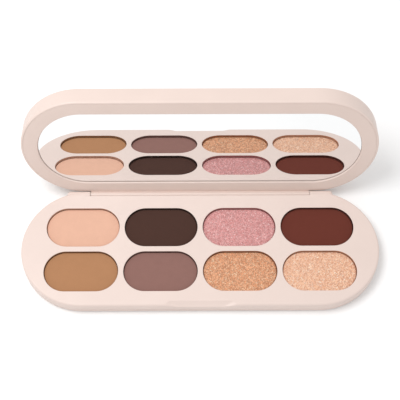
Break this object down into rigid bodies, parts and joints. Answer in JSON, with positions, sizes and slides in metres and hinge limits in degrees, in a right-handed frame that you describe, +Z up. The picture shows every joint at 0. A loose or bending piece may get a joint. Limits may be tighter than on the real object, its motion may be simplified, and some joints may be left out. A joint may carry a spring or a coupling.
{
  "type": "eyeshadow palette",
  "caption": "Open capsule-shaped eyeshadow palette: rows of pressed shades in a slim base, a mirror in its hinged lid, and a thumb scoop in the front edge.",
  "frame": {"origin": "centre of the base's flat underside, on the table", "axes": "+X along the palette to the right as its user sees it, +Y to the back, towards the hinge, +Z up"},
  "size_m": [0.152, 0.0772, 0.054],
  "materials": {
    "base_plastic": "satin moulded plastic",
    "lid_plastic": "satin moulded plastic",
    "mirror": "polished",
    "mirror_tape": "adhesive sheet",
    "pan_metal": "bright tinplate",
    "pad_tape": "adhesive foam",
    "magnet": "nickel plated",
    "pin_steel": "drawn steel",
    "label_paper": "matte, no print",
    "shade_peach": "matte pressed powder",
    "shade_espresso": "matte pressed powder",
    "shade_rose_shimmer": "fine shimmer pressed powder",
    "shade_burgundy": "matte pressed powder",
    "shade_caramel": "matte pressed powder",
    "shade_taupe": "matte pressed powder",
    "shade_copper_shimmer": "shimmer pressed powder",
    "shade_champagne_shimmer": "coarse shimmer pressed powder"
  },
  "bodies": {
    "base": {"base_bottom": "base_plastic", "base_magnet_left": "magnet", "base_magnet_right": "magnet", "base_tray": "base_plastic", "bottom_label": "label_paper", "hinge_pin_left": "pin_steel", "hinge_pin_right": "pin_steel", "pan_front_1": "pan_metal", "pan_front_2": "pan_metal", "pan_front_3": "pan_metal", "pan_front_4": "pan_metal", "pan_pad_front_1": "pad_tape", "pan_pad_front_2": "pad_tape", "pan_pad_front_3": "pad_tape", "pan_pad_front_4": "pad_tape", "pan_pad_rear_1": "pad_tape", "pan_pad_rear_2": "pad_tape", "pan_pad_rear_3": "pad_tape", "pan_pad_rear_4": "pad_tape", "pan_rear_1": "pan_metal", "pan_rear_2": "pan_metal", "pan_rear_3": "pan_metal", "pan_rear_4": "pan_metal", "shade_burgundy": "shade_burgundy", "shade_caramel": "shade_caramel", "shade_champagne_shimmer": "shade_champagne_shimmer", "shade_copper_shimmer": "shade_copper_shimmer", "shade_espresso": "shade_espresso", "shade_peach": "shade_peach", "shade_rose_shimmer": "shade_rose_shimmer", "shade_taupe": "shade_taupe"},
    "lid": {"lid_frame": "lid_plastic", "lid_magnet_left": "magnet", "lid_magnet_right": "magnet", "lid_shell": "lid_plastic", "mirror": "mirror", "mirror_adhesive": "mirror_tape"}
  },
  "joints": [
    {"name": "lid_hinge", "type": "hinge", "parent": "base", "child": "lid", "pos_m": [0, 0.0259, 0.0048], "axis": [1, 0, 0], "range_deg": [0, 105.7]}
  ]
}
